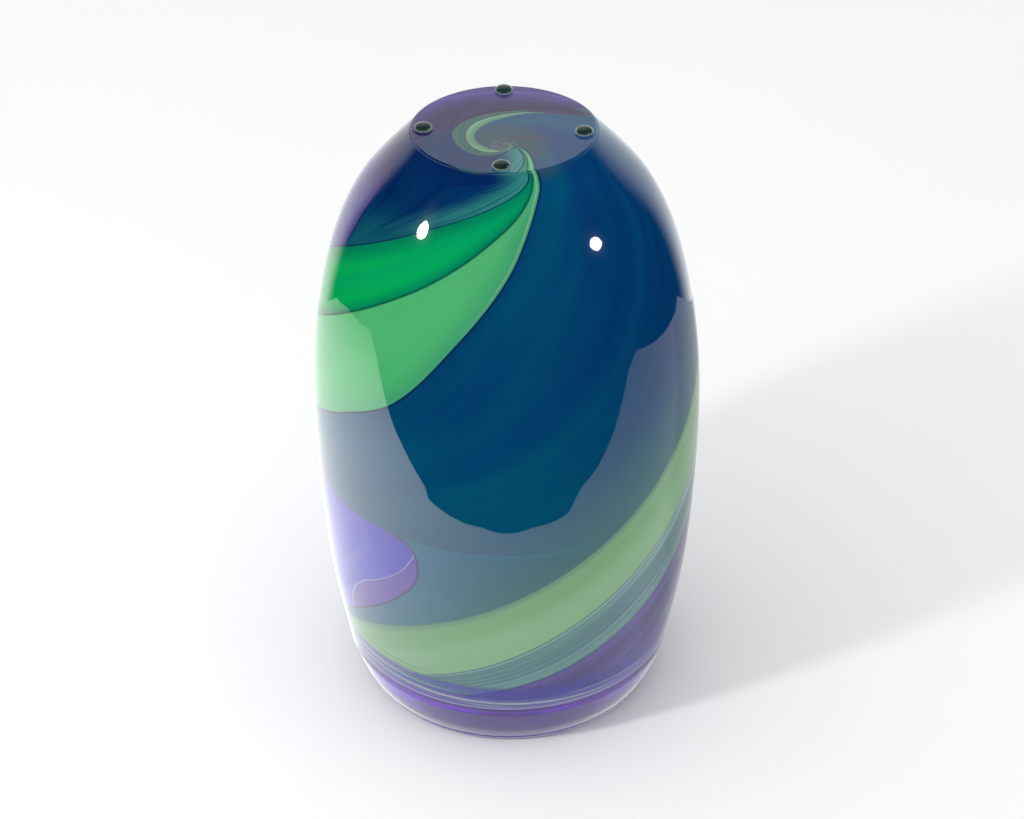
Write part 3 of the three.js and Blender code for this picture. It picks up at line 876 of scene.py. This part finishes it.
# The edge of the pale table top, seen from above, round from its front right corner.
TABLE_EDGE = [(0.79, -0.18), (0.66, -0.235), (0.25, -0.24), (0.19, -0.25), (0.14, -0.237), (0.06, -0.257),
              (-0.06, -0.257), (-0.12, -0.243), (-0.19, -0.222), (-0.21, -0.232), (-0.34, -0.227),
              (-0.49, -0.205), (-0.75, -0.175), (-1.05, -0.10), (-0.82, 0.24), (-0.60, WALL_AT),
              (0.55, WALL_AT), (0.55, 0.28), (0.65, 0.12), (0.79, -0.16)]
TABLE_LEVEL = 0.85              # away from the bright patch
PATCH_LEVEL = 2.3               # what the middle of the bright patch adds
PATCH_AT = (-0.34, -0.12)
PATCH_FALL = (6.0, 8.0)
SHADE_LEVEL = 0.65              # in the vase's shadow
SHADE_WAY = (0.8, 0.6)          # which way the shadow runs
SHADE_HALF = 0.088              # half its width at the vase's axis
SHADE_GROWTH = 0.12             # how much wider it gets on each side, for each metre
SHADE_SOFT = 0.03
NEAR = 0.07                     # the table is dimmer up to this far from the vase's axis
FAR = 0.17                      # and fully lit from here
NEAR_SHARE = 0.7
LAMP_AIM = 0.24
LAMP_DISTANCE = 1.4
LAMP_HALO = 0.30
LAMP_STRENGTH = 90.0
HALO_STRENGTH = 1.4


def floor_material():
    g = Glass("floor")
    speck = g.node("TexNoise", {"Scale": 40.0, "Detail": 4.0}).outputs[0]
    colour = g.blend(g.smooth(speck, 0.3, 0.7), (0.9, 0.9, 0.9), (0.885, 0.885, 0.887))
    return g.finish(g.shader("Diffuse", Color=colour))


def sheet_of_light(name, corners, strength):
    """Something bright that only shows as a reflection. strength(g, x, y, z) makes its brightness."""
    g = Glass(name)
    glow = g.node("Emission", {"Strength": strength(g, *g.position())}).outputs[0]
    card = piece(name, np.array(corners) / MM, [list(range(len(corners)))], g.finish(glow))
    card.visible_camera = card.visible_diffuse = card.visible_transmission = card.visible_shadow = False
    card.visible_volume_scatter = False
    return card


def table_glow(g, x, y, z):
    """Brightest beside the vase on the lamp's side, and dim where the vase keeps the lamp off it."""
    dx, dy = (g.minus(p, middle) for p, middle in zip((x, y), PATCH_AT))
    falls = [g.times(g.times(d, d), -fall) for d, fall in zip((dx, dy), PATCH_FALL)]
    lit = g.plus(TABLE_LEVEL, g.times(PATCH_LEVEL, g.math("EXPONENT", g.plus(*falls))))
    way_x, way_y = SHADE_WAY
    along = g.plus(g.times(x, way_x), g.times(y, way_y))
    side = g.math("ABSOLUTE", g.minus(g.times(y, way_x), g.times(x, way_y)))
    width = g.plus(SHADE_HALF, g.times(along, SHADE_GROWTH))
    within = g.smooth(g.minus(side, width), -SHADE_SOFT, SHADE_SOFT, 1.0, 0.0)
    shade = g.times(within, g.smooth(along, 0.0, 0.08))
    away = g.math("SQRT", g.plus(g.times(x, x), g.times(y, y)))
    lit = g.times(lit, g.smooth(away, NEAR, FAR, NEAR_SHARE, 1.0))
    return g.plus(g.times(lit, g.minus(1.0, shade)), g.times(shade, SHADE_LEVEL))


def wall_glow(g, x, y, z):
    """A pale wall, dimmer higher up and fading out to both sides."""
    level = g.math("MAXIMUM", g.minus(WALL_LEVEL, z), WALL_LEAST)
    left = g.smooth(g.plus(x, g.times(z, 0.2)), -0.53, -0.33)
    right = g.smooth(g.minus(x, g.times(z, 0.35)), 0.22, 0.50, 1.0, 0.0)
    high = g.times(g.smooth(z, 0.45, 0.80), g.smooth(x, 0.0, 0.2))
    return g.times(g.times(level, g.minus(1.0, high)), g.times(left, right))


floor_corners = [(x * FLOOR_HALF, y * FLOOR_HALF, -FLOOR_DROP)
                 for x, y in ((-1, -1), (1, -1), (1, 1), (-1, 1))]
floor = piece("floor", np.array(floor_corners) / MM, [(0, 1, 2, 3)], floor_material())
floor.visible_glossy = False

wall_left, wall_right = WALL_ENDS
wall_corners = [(wall_left, WALL_AT, 0.0), (wall_right, WALL_AT, 0.0), (wall_right, WALL_AT, WALL_TOP),
                (wall_left, WALL_AT, WALL_TOP)]
table_light = sheet_of_light("table_light", [(x, y, TABLE_TOP) for x, y in TABLE_EDGE], table_glow)
wall_light = sheet_of_light("wall_light", wall_corners, wall_glow)


def lamp_disc(name, azimuth, elevation, radius):
    """A bright lamp with a faint halo, out of sight to one side. It shows as a highlight in the glass."""
    a = math.radians(azimuth)
    e = math.radians(elevation)
    towards = Vector((math.sin(a) * math.cos(e), -math.cos(a) * math.cos(e), math.sin(e)))
    centre = Vector((0, 0, LAMP_AIM)) + towards * LAMP_DISTANCE
    turn = towards.to_track_quat("Z", "Y")
    ring = [centre + turn @ Vector((math.cos(t), math.sin(t), 0)) * LAMP_HALO
            for t in np.arange(48) * math.tau / 48]

    def strength(g, x, y, z):
        offsets = [g.minus(p, c) for p, c in zip((x, y, z), centre)]
        squares = [g.times(d, d) for d in offsets]
        away = g.math("SQRT", g.plus(g.plus(squares[0], squares[1]), squares[2]))
        core = g.smooth(away, radius * 0.85, radius * 1.15, LAMP_STRENGTH, 0.0)
        fading = g.smooth(away, 0.0, LAMP_HALO, 1.0, 0.0)
        return g.plus(core, g.times(HALO_STRENGTH, g.math("POWER", fading, 2.0)))

    return sheet_of_light(name, [tuple(p) for p in ring], strength)


lamps = [lamp_disc("left_lamp", -72, 34, 0.085), lamp_disc("right_lamp", 71, 25.5, 0.10)]

KEY_AT = Vector((-0.78, -0.55, 0.78))
KEY_AIM = Vector((0, 0, 0.1))
key_data = bpy.data.lights.new("key", "AREA")
key_data.shape = "DISK"
key_data.size = 0.12
key_data.energy = 5.0
key = bpy.data.objects.new("key", key_data)
key.location = KEY_AT
key.rotation_euler = (KEY_AIM - KEY_AT).to_track_quat("-Z", "Y").to_euler()
key.visible_glossy = False
key.visible_transmission = False
bpy.context.scene.collection.objects.link(key)

BRIGHT_SIDE = Vector((-0.75, -0.45, 0.48))
STUDIO_LEAST = 0.76
STUDIO_MOST = 1.10
world = bpy.data.worlds.new("studio")
bpy.context.scene.world = world
world.use_nodes = True
world.cycles_visibility.glossy = False
sky = world.node_tree
facing = sky.nodes.new("ShaderNodeVectorMath")
facing.operation = "DOT_PRODUCT"
facing.inputs[1].default_value = BRIGHT_SIDE.normalized()
level = sky.nodes.new("ShaderNodeMapRange")
level.inputs["From Min"].default_value = -1
level.inputs["To Min"].default_value = STUDIO_LEAST
level.inputs["To Max"].default_value = STUDIO_MOST
sky.links.new(sky.nodes.new("ShaderNodeTexCoord").outputs["Generated"], facing.inputs[0])
sky.links.new(facing.outputs["Value"], level.inputs["Value"])
sky.links.new(level.outputs[0], sky.nodes["Background"].inputs["Strength"])
sky.nodes["Background"].inputs["Color"].default_value = (1, 1, 1, 1)

scene = bpy.context.scene
scene.view_settings.view_transform = "Standard"
scene.cycles.max_bounces = 40
scene.cycles.transmission_bounces = 40
scene.cycles.glossy_bounces = 8
scene.cycles.diffuse_bounces = 6
scene.cycles.transparent_max_bounces = 48
scene.cycles.sample_clamp_indirect = 6.0

CAMERA_AT = (0.0023, -0.988, 0.8039)
TILT = math.radians(56.11)
ROLL = math.radians(-0.52)
camera_data = bpy.data.cameras.new("camera")
camera_data.lens = 91.4
camera_data.sensor_width = 36
camera_data.clip_start = 0.05
camera_data.clip_end = 60
camera = bpy.data.objects.new("camera", camera_data)
scene.collection.objects.link(camera)
camera.matrix_world = (Matrix.Translation(CAMERA_AT) @ Matrix.Rotation(TILT, 4, "X")
                       @ Matrix.Rotation(ROLL, 4, "Z"))
scene.camera = camera
